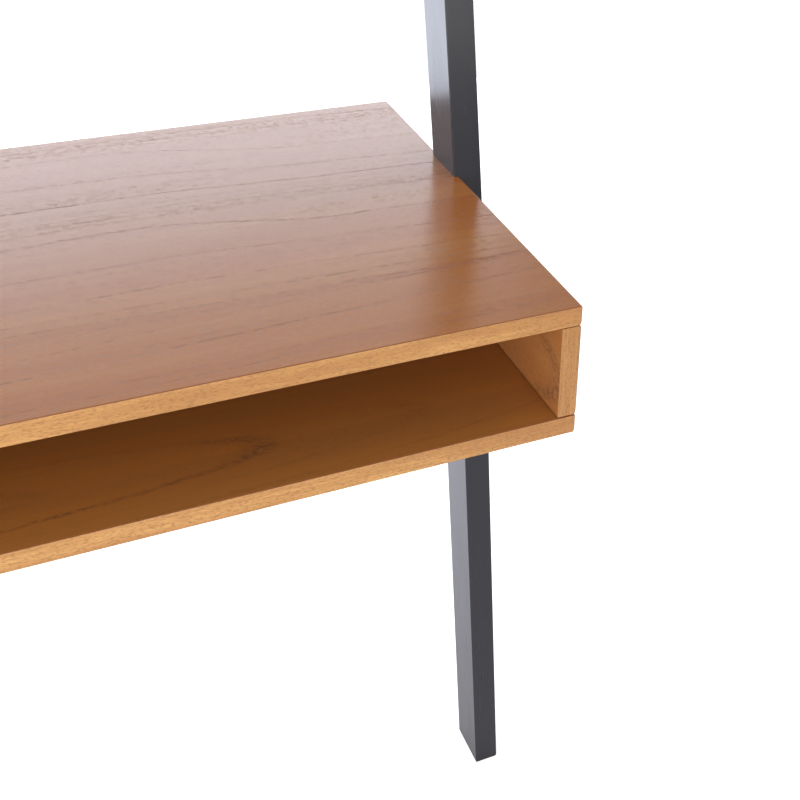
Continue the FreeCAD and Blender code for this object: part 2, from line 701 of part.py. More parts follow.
fill_sheet()
work_out_layout()
make_box_board("desktop_panel", "Sizes.desk_height", "-Sizes.board_thickness", opens_down=True)
make_box_board("cubby_floor", "Layout.cubby_base", "0", opens_down=False)
make_pair(make_cubby_side(), "cubby_side")
make_cubby_back()
make_pair(make_lower_leg(), "lower_leg")
make_pair(make_upper_leg(), "upper_leg")
make_pair(make_foot_pad(), "foot_pad")
for shelf, shelf_top in SHELVES.items():
    make_shelf(shelf, shelf_top)
make_tenons()
make_leg_bolts()
make_shelf_bolts()
make_group("wall_brackets", [make_strap()])
make_strap_screws()
doc.recompute()

for item in doc.Objects:
    if "Invalid" in item.State or "Error" in item.State:
        raise RuntimeError(f"{item.Label} did not compute: {item.State}")
for node in nodes:
    if node.Shape.isNull() or not node.Shape.isValid() or not node.Shape.Solids:
        raise RuntimeError(f"{node.Label} has no valid solid")

os.makedirs("parts", exist_ok=True)
for node in nodes:
    node.Shape.exportStep(f"parts/{node.Label}.step")
    print(f"{node.Label}: {len(node.Shape.Solids)} solids, {node.Shape.Volume:.1f} mm3")
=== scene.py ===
import math

import bmesh
import bpy
from mathutils import Matrix, Vector


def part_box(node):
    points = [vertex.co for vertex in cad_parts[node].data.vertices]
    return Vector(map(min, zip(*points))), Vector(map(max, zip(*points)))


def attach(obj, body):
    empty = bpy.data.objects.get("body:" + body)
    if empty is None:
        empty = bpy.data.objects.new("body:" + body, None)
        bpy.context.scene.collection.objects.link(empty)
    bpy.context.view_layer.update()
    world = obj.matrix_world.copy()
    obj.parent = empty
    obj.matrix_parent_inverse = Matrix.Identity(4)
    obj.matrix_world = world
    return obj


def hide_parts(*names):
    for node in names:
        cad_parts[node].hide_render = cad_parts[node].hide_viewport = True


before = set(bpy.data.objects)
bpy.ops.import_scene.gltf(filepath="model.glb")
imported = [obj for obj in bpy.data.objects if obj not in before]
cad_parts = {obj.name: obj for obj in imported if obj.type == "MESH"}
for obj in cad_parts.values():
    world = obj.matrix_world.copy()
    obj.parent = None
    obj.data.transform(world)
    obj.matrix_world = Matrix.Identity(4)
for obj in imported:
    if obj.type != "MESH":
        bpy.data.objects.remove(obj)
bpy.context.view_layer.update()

# --- Camera ---
# It stands before the desk's left half, half a metre above the desktop, and looks down at the
# right end of the desktop.

CAMERA_PLACE = Vector((-0.006103, -0.983188, 1.257682))
CAMERA_YAW = 0.477274
CAMERA_PITCH = -0.576983
CAMERA_ROLL = 0.054624
SENSOR = 36
LENS = 55.2749
SHIFT_ACROSS, SHIFT_UP = -0.18755, -0.04211
NEAREST, FURTHEST = 0.01, 60


def stand(name, data):
    """A new object in the scene."""
    thing = bpy.data.objects.new(name, data)
    bpy.context.scene.collection.objects.link(thing)
    return thing


level_ahead = Vector((math.sin(CAMERA_YAW), math.cos(CAMERA_YAW), 0))
ahead = level_ahead * math.cos(CAMERA_PITCH) + Vector((0, 0, math.sin(CAMERA_PITCH)))
level_right = Vector((math.cos(CAMERA_YAW), -math.sin(CAMERA_YAW), 0))
level_up = level_right.cross(ahead)
right = level_right * math.cos(CAMERA_ROLL) + level_up * math.sin(CAMERA_ROLL)
up = right.cross(ahead)

camera = stand("camera", bpy.data.cameras.new("camera"))
camera_turn = Matrix((right, up, -ahead)).transposed()
camera.matrix_world = Matrix.Translation(CAMERA_PLACE) @ camera_turn.to_4x4()
camera.data.sensor_width = SENSOR
camera.data.lens = LENS
camera.data.shift_x = SHIFT_ACROSS
camera.data.shift_y = SHIFT_UP
camera.data.clip_start = NEAREST
camera.data.clip_end = FURTHEST
bpy.context.scene.camera = camera

# --- Desk box and shelves: the veneered boards ---
# Board core under long-grain veneer, with a band of the same wood on every edge, and a
# clear satin lacquer over it all. The boards' upward-facing arrises are coloured dark, a painted
# shade standing for the shadow along the joints, and the end panels stand off the boards by a shadow
# gap.

MM = 0.001
ARRIS_ROUNDING = 0.2 * MM
ARRIS_SEGMENTS = 2
ARRIS_LOWEST_ANGLE = math.radians(30)
ARRIS_HIGHEST_ANGLE = math.radians(60)
ARRIS_SHORTEST = 1.2 * MM
ARRIS_FACING = 0.3
END_ARRIS = 1.2 * MM
END_ARRIS_GROWTH = 1.9
SHADOW_GAPS = (0.8 * MM, 0.6 * MM)
WELD = 1e-6
FLAT_ENOUGH = math.radians(0.5)
BOX_PIECES = ("desktop_panel", "cubby_floor")


def put(tree, kind, wires=None, **looks):
    """A node in a tree. Its sockets take numbers, colours or the outputs of other nodes."""
    node = tree.nodes.new(kind)
    for name, value in looks.items():
        setattr(node, name, value)
    for name, value in (wires or {}).items():
        socket = node.inputs[name]
        if isinstance(value, bpy.types.NodeSocket):
            tree.links.new(value, socket)
        else:
            socket.default_value = value
    return node


def reckon(tree, operation, *numbers):
    """The result of a Math node."""
    return put(tree, "ShaderNodeMath", dict(enumerate(numbers)), operation=operation).outputs[0]


def fade(tree, value, start, end, low=0.0, high=1.0):
    """A smooth step from low to high as the value goes from start to end."""
    wires = {"Value": value, "From Min": start, "From Max": end, "To Min": low, "To Max": high}
    return put(tree, "ShaderNodeMapRange", wires, interpolation_type="SMOOTHSTEP").outputs["Result"]


def blend_colours(tree, share, first, second, way="MIX"):
    wires = {0: share, 6: first, 7: second}
    return put(tree, "ShaderNodeMix", wires, data_type="RGBA", blend_type=way).outputs[2]


def streaks(tree, along, across, depth, lengthwise, crosswise, detail=2.0, roughness=0.5):
    """Noise drawn out along the grain. The two scales are in cycles a metre."""
    place = put(tree, "ShaderNodeCombineXYZ", {
        "X": reckon(tree, "MULTIPLY", along, lengthwise),
        "Y": reckon(tree, "MULTIPLY", across, crosswise),
        "Z": reckon(tree, "MULTIPLY", depth, crosswise)})
    noise = put(tree, "ShaderNodeTexNoise",
                {"Vector": place.outputs[0], "Scale": 1.0, "Detail": detail, "Roughness": roughness})
    return noise.outputs["Fac"]


def new_group(name, inputs, outputs, kind="ShaderNodeTree"):
    """An empty node group. Inputs and outputs are name: kind of socket."""
    group = bpy.data.node_groups.new(name, kind)
    for way, sockets in (("INPUT", inputs), ("OUTPUT", outputs)):
        for socket, socket_kind in sockets.items():
            group.interface.new_socket(socket, in_out=way, socket_type=f"NodeSocket{socket_kind}")
    return group, put(group, "NodeGroupInput").outputs


def mark_rings(tree, along, bend, across, rings):
    """A mask of growth rings, each of them (place, slope, dip, strength, width).

    That is where the ring lies across the grain, how far it leans out of line, how far it
    drops where the trunk bent, how dark it is, and how far it spreads. They go in threes, one
    to each part of a vector.
    """
    darkest = None
    for first in range(0, len(rings), 3):
        trio = (list(rings[first:first + 3]) + [(9.0, 0.0, 0.0, 0.0, 1.0)] * 2)[:3]
        places, slopes, dips, strengths, widths = zip(*trio)
        ring_at = put(tree, "ShaderNodeVectorMath", {0: along, 1: slopes, 2: places},
                      operation="MULTIPLY_ADD").outputs[0]
        ring_at = put(tree, "ShaderNodeVectorMath", {0: bend, 1: dips, 2: ring_at},
                      operation="MULTIPLY_ADD").outputs[0]
        off = put(tree, "ShaderNodeVectorMath", {0: across, 1: ring_at}, operation="SUBTRACT").outputs[0]
        off = put(tree, "ShaderNodeVectorMath", {0: off}, operation="ABSOLUTE").outputs[0]
        mask = put(tree, "ShaderNodeMapRange", {
            "Vector": off, 7: (0, 0, 0), 8: widths, 9: strengths, 10: (0, 0, 0)},
            data_type="FLOAT_VECTOR", interpolation_type="SMOOTHSTEP").outputs["Vector"]
        darkest = mask if darkest is None else put(
            tree, "ShaderNodeVectorMath", {0: darkest, 1: mask}, operation="MAXIMUM").outputs[0]
    part = put(tree, "ShaderNodeSeparateXYZ", {"Vector": darkest}).outputs
    return reckon(tree, "MAXIMUM", reckon(tree, "MAXIMUM", part[0], part[1]), part[2])


PLAIN_RINGS = [
    (214.0, 0.010, 0.0, 0.40, 1.1), (222.0, -0.010, 0.0, 0.35, 1.0), (203.0, 0.004, 0.0, 0.40, 1.1),
    (186.5, -0.012, -38.0, 0.42, 1.1), (130.0, -0.045, -18.0, 0.50, 1.0),
    (82.0, -0.030, -6.0, 0.75, 1.1), (61.0, -0.020, 0.0, 0.30, 0.9), (51.5, -0.012, -3.0, 0.55, 0.9),
    (43.0, -0.010, -3.0, 0.50, 0.9), (34.0, -0.012, -3.0, 0.55, 1.0), (13.5, 0.0, -34.0, 0.68, 1.1),
    (0.0, -0.030, -18.0, 0.30, 0.8), (-43.5, -0.030, -7.0, 0.65, 0.9), (-62.0, -0.030, -4.0, 0.35, 0.8),
    (-88.5, -0.028, 0.0, 0.75, 0.9), (-100.0, -0.028, 0.0, 0.35, 0.8), (-111.5, -0.028, 0.0, 0.80, 0.9),
    (-124.5, -0.030, 0.0, 0.70, 0.9), (-136.0, -0.008, 0.0, 0.65, 0.9), (-147.0, 0.040, 0.0, 0.40, 0.8),
    (-158.5, 0.065, 0.0, 0.85, 0.9), (-168.0, 0.055, 0.0, 0.45, 0.8), (-176.5, 0.045, 0.0, 0.60, 0.8),
    (-186.0, 0.054, 0.0, 0.85, 0.9), (-197.0, 0.040, 0.0, 0.40, 0.8), (-206.0, 0.036, 0.0, 0.45, 0.8),
    (-216.0, 0.034, 0.0, 0.65, 0.9), (-226.0, 0.025, 0.0, 0.65, 0.9)]
PLAIN_BELTS = [(207.0, -0.004, 0.0, 0.80, 32.0), (39.0, -0.012, -3.0, 0.75, 22.0),
               (-131.0, -0.010, 0.0, 0.6, 18.0), (-181.0, 0.045, 0.0, 0.6, 18.0),
               (-221.0, 0.030, 0.0, 0.6, 16.0), (-90.0, -0.028, 0.0, 0.5, 8.0),
               (13.5, 0.0, -34.0, 0.8, 5.0), (82.0, -0.030, -6.0, 0.7, 5.0),
               (130.0, -0.045, -18.0, 0.6, 5.0)]
PLAIN_SHADES = [(-131.0, -0.010, 0.0, 1.2, 5.0), (-204.0, 0.036, 0.0, 0.7, 42.0),
                (140.0, -0.030, -20.0, 0.7, 60.0), (-20.0, -0.020, -20.0, 0.7, 34.0)]
FLAME_RINGS = [
    (45.0, 0.0, 0.0, 0.75, 1.0), (33.0, 0.0, 0.0, 0.22, 1.1), (24.0, 0.0, 0.0, 0.16, 1.1),
    (54.0, 0.0, 0.0, 0.20, 1.1), (66.0, 0.0, 0.0, 0.25, 1.2), (81.0, 0.0, 0.0, 0.22, 1.3),
    (93.0, 0.0, 0.0, 0.32, 1.1), (112.0, 0.0, 0.0, 0.28, 1.3), (133.0, 0.0, 0.0, 0.35, 1.2)]
FLAME_BELTS = [(45.0, 0.0, 0.0, 0.8, 5.0), (93.0, 0.0, 0.0, 0.5, 14.0), (133.0, 0.0, 0.0, 0.7, 16.0)]
BOW_MIDDLE, BOW_LENGTH, BOW_REACH = 0.17, 0.9, 8 * MM
BOW_STARTS, BOW_IS_FULL = -0.14, -0.07
BEND_STARTS, BEND_ENDS = 0.10, 0.28
FLAME_SLANT, FLAME_TIP_RADIUS = 0.068, 0.045
RING_OUTPUTS = {"Line": "Float", "Belt": "Float", "Shade": "Float"}


def in_metres(rings, darker=1.0, wider=1.0):
    return [(place * MM, slope, dip * MM, strength * darker, width * wider * MM)
            for place, slope, dip, strength, width in rings]


def wavy_spot(group, place, drift_reach, ripple_reach, jag_reach):
    """The two ways of a veneer, with the second swayed as the trunk's own growth was."""
    spot = put(group, "ShaderNodeSeparateXYZ", {"Vector": place}).outputs
    along, across, depth = spot[0], spot[1], spot[2]
    for lengthwise, crosswise, reach in ((1.8, 6.0, drift_reach), (9.0, 30.0, ripple_reach),
                                         (55.0, 180.0, jag_reach)):
        sway = streaks(group, along, spot[1], depth, lengthwise, crosswise, 1.0)
        across = reckon(group, "MULTIPLY_ADD", reckon(group, "SUBTRACT", sway, 0.5), reach, across)
    return along, across, depth


def make_plain_rings():
    """Rings that run from end to end, bow a little, and close up towards the right."""
    group, given = new_group("plain_rings", {"Place": "Vector"}, RING_OUTPUTS)
    along, across, depth = wavy_spot(group, given["Place"], 14 * MM, 6 * MM, 0.9 * MM)
    phase = reckon(group, "MULTIPLY", reckon(group, "SUBTRACT", along, BOW_MIDDLE),
                   2 * math.pi / BOW_LENGTH)
    bow = reckon(group, "MULTIPLY", reckon(group, "COSINE", phase), BOW_REACH)
    bow = reckon(group, "MULTIPLY", bow, fade(group, across, BOW_STARTS, BOW_IS_FULL))
    across = reckon(group, "SUBTRACT", across, bow)
    bend = fade(group, along, BEND_STARTS, BEND_ENDS)
    put(group, "NodeGroupOutput", {
        "Line": mark_rings(group, along, bend, across, in_metres(PLAIN_RINGS, 1.35, 1.2)),
        "Belt": mark_rings(group, along, bend, across, in_metres(PLAIN_BELTS)),
        "Shade": mark_rings(group, along, bend, across, in_metres(PLAIN_SHADES))})
    return group


def make_flame_rings():
    """Rings cut through aslant, which close in a point at the origin and open backwards.

    Their far side is wider, and fades out before the near one does.
    """
    group, given = new_group("flame_rings", {"Place": "Vector"}, RING_OUTPUTS)
    along, across, depth = wavy_spot(group, given["Place"], 12 * MM, 9 * MM, 5 * MM)
    across = reckon(group, "MULTIPLY", across, fade(group, across, -0.004, 0.004, 1.0, 0.75))
    cut = reckon(group, "MULTIPLY_ADD", along, FLAME_SLANT, FLAME_TIP_RADIUS)
    radius = reckon(group, "SQRT", reckon(group, "ADD", reckon(group, "MULTIPLY", across, across),
                                          reckon(group, "MULTIPLY", cut, cut)))
    clear = reckon(group, "MULTIPLY", fade(group, across, 0.010, 0.020), 0.75)
    clear = reckon(group, "SUBTRACT", 1.0, clear)
    line = mark_rings(group, along, along, radius, in_metres(FLAME_RINGS, 1.05, 1.6))
    belt = mark_rings(group, along, along, radius, in_metres(FLAME_BELTS))
    put(group, "NodeGroupOutput", {
        "Line": reckon(group, "MULTIPLY", line, clear),
        "Belt": reckon(group, "MULTIPLY", belt, clear),
        "Shade": fade(group, radius, 0.030, 0.062)})
    return group


def make_wood_surface():
    """Wood's own colour between the rings, its fibres and its pores. X is along the grain."""
    group, given = new_group(
        "wood_surface",
        {"Place": "Vector", "Line": "Float", "Belt": "Float", "Shade": "Float", "Pale": "Color",
         "Dark": "Color", "Mark": "Color", "Pore strength": "Float"},
        {"Colour": "Color", "Roughness": "Float", "Height": "Float"})
    along, across, depth = wavy_spot(group, given["Place"], 16 * MM, 6 * MM, 1 * MM)
    tone = fade(group, streaks(group, along, across, depth, 1.3, 34.0, 3.0, 0.6), 0.35, 0.65, 0.0, 0.7)
    tone = reckon(group, "MULTIPLY_ADD", given["Shade"], 0.5, tone)
    fibre = streaks(group, along, across, depth, 14.0, 380.0, 3.0, 0.7)
    cloud = streaks(group, along, across, depth, 3.0, 110.0, 2.0, 0.6)
    dashes = fade(group, streaks(group, along, across, depth, 160.0, 400.0), 0.40, 0.55, 0.25, 1.0)
    breaks = fade(group, streaks(group, along, across, depth, 8.0, 70.0), 0.36, 0.55, 0.62, 1.0)
    line = reckon(group, "MULTIPLY", given["Line"], reckon(group, "MULTIPLY", dashes, breaks))
    belt = reckon(group, "MAXIMUM", given["Belt"], fade(
        group, streaks(group, along, across, depth, 2.5, 40.0, 1.0), 0.44, 0.70, 0.22, 0.65))
    pore = fade(group, streaks(group, along, across, depth, 170.0, 750.0, 1.5, 0.6), 0.50, 0.66)
    pore = reckon(group, "MULTIPLY", reckon(group, "MULTIPLY", pore, belt), given["Pore strength"])
    wood = blend_colours(group, tone, given["Pale"], given["Dark"])
    wood = blend_colours(group, fade(group, cloud, 0.35, 0.70, 0.0, 0.35), wood, given["Dark"])
    wood = blend_colours(group, fade(group, fibre, 0.38, 0.64, 0.0, 0.55), wood, given["Dark"])
    mark = reckon(group, "MAXIMUM", line, pore)
    wood = blend_colours(group, mark, wood, given["Mark"])
    rough = reckon(group, "MULTIPLY_ADD", mark, 0.40, reckon(group, "MULTIPLY", fibre, 0.05))
    height = reckon(group, "SUBTRACT", reckon(group, "MULTIPLY", fibre, 0.35), mark)
    put(group, "NodeGroupOutput", {"Colour": wood, "Roughness": rough, "Height": height})
    return group


PLAIN = make_plain_rings()
FLAME = make_flame_rings()
WOOD_SURFACE = make_wood_surface()


def own_place(tree):
    return put(tree, "ShaderNodeTexCoord").outputs["Object"]


def laid(tree, spot, along, across, scale=(1, 1, 1)):
    """Object coordinates from a spot, with X along one direction and Y along another."""
    x, y = Vector(along).normalized(), Vector(across).normalized()
    turn = Matrix((x, y, x.cross(y))).transposed().to_euler()
    return put(tree, "ShaderNodeMapping", {
        "Vector": own_place(tree), "Location": spot, "Rotation": turn, "Scale": scale},
        vector_type="TEXTURE").outputs[0]


def new_material(name):
    material = bpy.data.materials.new(name)
    material.use_nodes = True
    material.node_tree.nodes.clear()
    return material, material.node_tree


def close_material(tree, colour, roughness, height, strength, distance, metallic=0.0):
    """The end of a finish: its relief, its shader and its output."""
    relief = put(tree, "ShaderNodeBump", {
        "Strength": strength, "Distance": distance, "Height": height}).outputs[0]
    shader = put(tree, "ShaderNodeBsdfPrincipled", {
        "Base Color": colour, "Metallic": metallic, "Roughness": roughness, "Normal": relief})
    put(tree, "ShaderNodeOutputMaterial", {"Surface": shader.outputs[0]})


def dress_node(node, material):
    """Give a CAD node that is kept as it is its own finish."""
    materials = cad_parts[node].data.materials
    materials.clear()
    materials.append(material)


def make_veneer(name, rings, spot, along, across, colours, roughness, pores, lines=1.0,
                scale=(1, 1, 1), belt=0.0, painted_shade=None):
    """Lacquered veneer with its figure laid at a spot of the desk, along two directions.

    A strip's painted shade, which darkens it towards one end, is where along it that starts and ends,
    and its low and high.
    """
    material, tree = new_material(name)
    place = laid(tree, spot, along, across, scale)
    wires = dict(zip(("Pale", "Dark", "Mark"), colours), Place=place, Belt=belt)
    wires["Pore strength"] = pores
    # Painted shade: the strip grows darker towards one end.
    if painted_shade:
        along_grain = put(tree, "ShaderNodeSeparateXYZ", {"Vector": place}).outputs[0]
        wires["Shade"] = fade(tree, along_grain, *painted_shade)
    if rings:
        figure = put(tree, "ShaderNodeGroup", node_tree=rings)
        tree.links.new(place, figure.inputs["Place"])
        wires["Line"] = reckon(tree, "MULTIPLY", figure.outputs["Line"], lines)
        wires["Belt"] = figure.outputs["Belt"]
        wires["Shade"] = figure.outputs["Shade"]
    wood = put(tree, "ShaderNodeGroup", node_tree=WOOD_SURFACE)
    for socket, value in wires.items():
        if isinstance(value, bpy.types.NodeSocket):
            tree.links.new(value, wood.inputs[socket])
        else:
            wood.inputs[socket].default_value = value
    close_material(tree, wood.outputs["Colour"],
                   reckon(tree, "ADD", wood.outputs["Roughness"], roughness),
                   wood.outputs["Height"], 0.2, 0.1 * MM)
    return material


RIGHTWARDS, LEFTWARDS, FORWARDS, BACKWARDS = (1, 0, 0), (-1, 0, 0), (0, -1, 0), (0, 1, 0)
UPWARDS = (0, 0, 1)
FACE_COLOURS = ((0.460, 0.200, 0.062, 1), (0.392, 0.136, 0.036, 1), (0.21, 0.080, 0.021, 1))
FLOOR_COLOURS = ((0.51, 0.190, 0.036, 1), (0.42, 0.168, 0.040, 1), (0.20, 0.082, 0.028, 1))
SIDE_COLOURS = ((0.44, 0.184, 0.060, 1), (0.40, 0.154, 0.045, 1), (0.17, 0.068, 0.024, 1))
BAND_COLOURS = ((0.68, 0.364, 0.120, 1), (0.45, 0.196, 0.057, 1), (0.30, 0.128, 0.044, 1))
UPRIGHT_BAND_COLOURS = ((0.57, 0.292, 0.094, 1), (0.39, 0.162, 0.046, 1), (0.26, 0.108, 0.038, 1))
# Painted shade: a dark colour for the boards' upward-facing arrises, standing for the shadow along the
# joints.
ARRIS_SHADE_COLOURS = ((0.24, 0.070, 0.018, 1), (0.20, 0.056, 0.014, 1), (0.12, 0.040, 0.012, 1))
FINE = (0.60, 0.80, 0.80)
# Painted shade on the long edge bands: they grow darker towards the desk's right end.
BAND_PAINTED_SHADE = (0.35, 0.75, 0.0, 0.6)

desktop_veneer = make_veneer("desktop_veneer", PLAIN, (0, 0, 0), RIGHTWARDS, BACKWARDS,
                             FACE_COLOURS, 0.20, 0.75)
floor_veneer = make_veneer("cubby_floor_veneer", FLAME, (0.1525, -0.1800, 0.655), RIGHTWARDS, BACKWARDS,
                           FLOOR_COLOURS, 0.30, 0.35)
side_veneer = make_veneer("cubby_side_veneer", FLAME, (0.39, -0.232, 0.686), FORWARDS, UPWARDS,
                          SIDE_COLOURS, 0.36, 0.4, 1.0, scale=(1, 1.62, 1))
end_panel_veneer = make_veneer("end_panel_veneer", PLAIN, (0.408, 0.05, 0.79), BACKWARDS, UPWARDS,
                               FACE_COLOURS, 0.26, 0.6)
back_veneer = make_veneer("cubby_back_veneer", PLAIN, (-0.1, 0.22, 0.67), RIGHTWARDS, UPWARDS,
                          FLOOR_COLOURS, 0.30, 0.5)
shelf_veneer = make_veneer("shelf_veneer", PLAIN, (-0.21, 0.29, 1.2), LEFTWARDS, FORWARDS,
                           FACE_COLOURS, 0.26, 0.6)
long_band = make_veneer("long_edge_band", None, (0, 0, 0.75), RIGHTWARDS, UPWARDS,
                        BAND_COLOURS, 0.40, 0.75, scale=FINE, belt=0.75, painted_shade=BAND_PAINTED_SHADE)
end_band = make_veneer("end_edge_band", None, (0.4, 0, 0.7), BACKWARDS, UPWARDS,
                       BAND_COLOURS, 0.40, 0.75, scale=FINE, belt=0.75)
upright_band = make_veneer("upright_edge_band", None, (0.4, -0.23, 0.7), UPWARDS, LEFTWARDS,
                           UPRIGHT_BAND_COLOURS, 0.40, 0.75, scale=FINE, belt=0.75)
# Painted shade on the boards' upward-facing arrises, standing for the shadow along the joints.
arris_shade_veneer = make_veneer("painted_arris_shade", None, (0, 0, 0.75), RIGHTWARDS, UPWARDS,
                           ARRIS_SHADE_COLOURS, 0.45, 0.5, scale=FINE, belt=0.5)


def welded_copy(node):
    """The node's own shape, welded into clean faces."""
    shape = bmesh.new()
    shape.from_mesh(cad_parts[node].data)
    bmesh.ops.remove_doubles(shape, verts=shape.verts, dist=WELD)
    bmesh.ops.dissolve_limit(shape, angle_limit=FLAT_ENOUGH, verts=shape.verts, edges=shape.edges)
    return shape


def enlarge_end_arrises(shape, node):
    """Sand the arrises round the desk box's outer ends further back than the others."""
    low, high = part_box(node)
    board_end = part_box("desktop_panel")[1][0]
    reach = END_ARRIS + WELD
    for corner in shape.verts:
        from_end = board_end - abs(corner.co.x)
        if from_end < WELD:
            for axis in (1, 2):
                for face, way in ((low[axis], 1), (high[axis], -1)):
                    off = (corner.co[axis] - face) * way
                    if 0 < off < reach:
                        corner.co[axis] = face + way * off * END_ARRIS_GROWTH
        elif from_end < reach:
            corner.co.x -= math.copysign(END_ARRIS * (END_ARRIS_GROWTH - 1), corner.co.x)


def finish_wood(shape, node, dress):
    """Round the arrises, dress each face in its material, and hang the piece on the desk."""
    arrises = [edge for edge in shape.edges
               if edge.is_manifold and edge.is_convex and edge.calc_length() > ARRIS_SHORTEST
               and ARRIS_LOWEST_ANGLE < edge.calc_face_angle() < ARRIS_HIGHEST_ANGLE]
    bmesh.ops.bevel(shape, geom=arrises, offset=ARRIS_ROUNDING, segments=ARRIS_SEGMENTS,
                    profile=0.5, affect="EDGES", clamp_overlap=True)
    mesh = bpy.data.meshes.new(node)
    shape.to_mesh(mesh)
    shape.free()
    piece = stand(f"{node}_wood", mesh)
    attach(piece, "root")
    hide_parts(node)
    for polygon in mesh.polygons:
        material = dress(polygon.normal, polygon.center)
        if material.name not in mesh.materials:
            mesh.materials.append(material)
        polygon.material_index = mesh.materials.find(material.name)


def is_arris(normal):
    return sum(abs(part) > ARRIS_FACING for part in normal) > 1


for board, face in (("desktop_panel", desktop_veneer), ("cubby_floor", floor_veneer),
                    ("lower_shelf", shelf_veneer), ("upper_shelf", shelf_veneer)):
    def dress_board(normal, _centre, face=face):
        # Upward-facing arrises take the dark painted shade that stands for the shadow along the joints.
        if is_arris(normal) and normal[2] > ARRIS_FACING:
            return arris_shade_veneer
        if abs(normal[1]) > 0.5:
            return long_band
        return end_band if abs(normal[0]) > 0.5 else face

    shape = welded_copy(board)
    if board in BOX_PIECES:
        enlarge_end_arrises(shape, board)
    finish_wood(shape, board, dress_board)

for side in ("cubby_side_left", "cubby_side_right"):
    def dress_side(normal, centre):
        if abs(normal[1]) > ARRIS_FACING:
            return upright_band
        outwards = normal[0] * centre[0] > 0 and abs(normal[0]) > 0.5
        return end_panel_veneer if outwards else side_veneer

    shape = welded_copy(side)
    enlarge_end_arrises(shape, side)
    low, high = (corner[2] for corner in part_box(side))
    shorter = (high - low - sum(SHADOW_GAPS)) / (high - low)
    for corner in shape.verts:
        corner.co.z = low + SHADOW_GAPS[0] + (corner.co.z - low) * shorter
    finish_wood(shape, side, dress_side)

dress_node("cubby_back", back_veneer)

# --- Legs ---
# Solid hardwood, planed, its long edges rounded, then sprayed charcoal in satin. The wood's
# grain still shows through the paint as faint streaks along each leg.

LEG_MIDDLE = 0.416
KNEE_FRONT, KNEE_HEIGHT = 0.0185, 0.6995
HALF_LEG_WIDTH, HALF_LEG_DEPTH = 14 * MM, 28 * MM
LEG_LEANS = {"lower_leg": 5.75, "upper_leg": 8.3809}
RUB_STARTS, RUB_IS_FULL = 1.4 * MM, 0.2 * MM
PAINT = (0.0215, 0.0205, 0.0268, 1)
RUBBED_PAINT = (0.040, 0.040, 0.043, 1)


def speckle(tree, place, scale, detail):
    """Fine noise that runs alike in every direction."""
    return put(tree, "ShaderNodeTexNoise", {
        "Vector": place, "Scale": scale, "Detail": detail}).outputs["Fac"]


def make_sprayed_skin():
    """The orange peel of a sprayed coat, and the streaks of what lies under it along X."""
    group, given = new_group(
        "sprayed_skin", {"Place": "Vector", "Peel size": "Float", "Streaks": "Float"},
        {"Height": "Float", "Roughness": "Float"})
    spot = put(group, "ShaderNodeSeparateXYZ", {"Vector": given["Place"]}).outputs
    streak = streaks(group, spot[0], spot[1], spot[2], 14.0, 420.0, 3.0, 0.6)
    patch = streaks(group, spot[0], spot[1], spot[2], 9.0, 40.0, 2.0, 0.5)
    peel = speckle(group, given["Place"], reckon(group, "DIVIDE", 1.0, given["Peel size"]), 1.0)
    streak = reckon(group, "MULTIPLY", reckon(group, "SUBTRACT", streak, 0.5), given["Streaks"])
    rough = reckon(group, "MULTIPLY", reckon(group, "SUBTRACT", patch, 0.5), 0.10)
    put(group, "NodeGroupOutput", {
        "Height": reckon(group, "ADD", peel, streak),
        "Roughness": reckon(group, "MULTIPLY_ADD", streak, 0.10, rough)})
    return group


SPRAYED_SKIN = make_sprayed_skin()


def make_leg_paint(name, lean):
    """Paint for a leg that leans by so many degrees, with its arrises a little rubbed."""
    material, tree = new_material(name)
    angle = math.radians(lean)
    along = Vector((0, math.sin(angle), math.cos(angle)))
    backwards = Vector((0, math.cos(angle), -math.sin(angle)))
    middle = Vector((0, KNEE_FRONT, KNEE_HEIGHT)) + backwards * HALF_LEG_DEPTH
    place = laid(tree, middle, along, -backwards)
    skin = put(tree, "ShaderNodeGroup", {"Place": place, "Peel size": 1.6 * MM, "Streaks": 1.2},
               node_tree=SPRAYED_SKIN)
    spot = put(tree, "ShaderNodeSeparateXYZ", {"Vector": place}).outputs
    sideways = reckon(tree, "ABSOLUTE", reckon(
        tree, "SUBTRACT", reckon(tree, "ABSOLUTE", spot[2]), LEG_MIDDLE))
    deep = reckon(tree, "ABSOLUTE", spot[1])
    corner = reckon(tree, "MULTIPLY",
                    fade(tree, sideways, HALF_LEG_WIDTH - RUB_STARTS, HALF_LEG_WIDTH - RUB_IS_FULL),
                    fade(tree, deep, HALF_LEG_DEPTH - RUB_STARTS, HALF_LEG_DEPTH - RUB_IS_FULL))
    rubbed = fade(tree, streaks(tree, spot[0], spot[1], spot[2], 12.0, 60.0), 0.48, 0.70)
    rubbed = reckon(tree, "MULTIPLY", corner, rubbed)
    close_material(tree, blend_colours(tree, rubbed, PAINT, RUBBED_PAINT),
                   reckon(tree, "ADD", skin.outputs["Roughness"], 0.25),
                   skin.outputs["Height"], 0.10, 0.05 * MM)
    return material


for part, lean in LEG_LEANS.items():
    leg_paint = make_leg_paint(f"{part}_paint", lean)
    for side in ("left", "right"):
        dress_node(f"{part}_{side}", leg_paint)

# --- Foot pads ---
# Thin black rubber, cut from sheet and glued under each foot. Its cut face is a little
# ragged, and floor dust has dulled it.

RUBBER = (0.006, 0.006, 0.006, 1)
DUSTY_RUBBER = (0.022, 0.021, 0.019, 1)

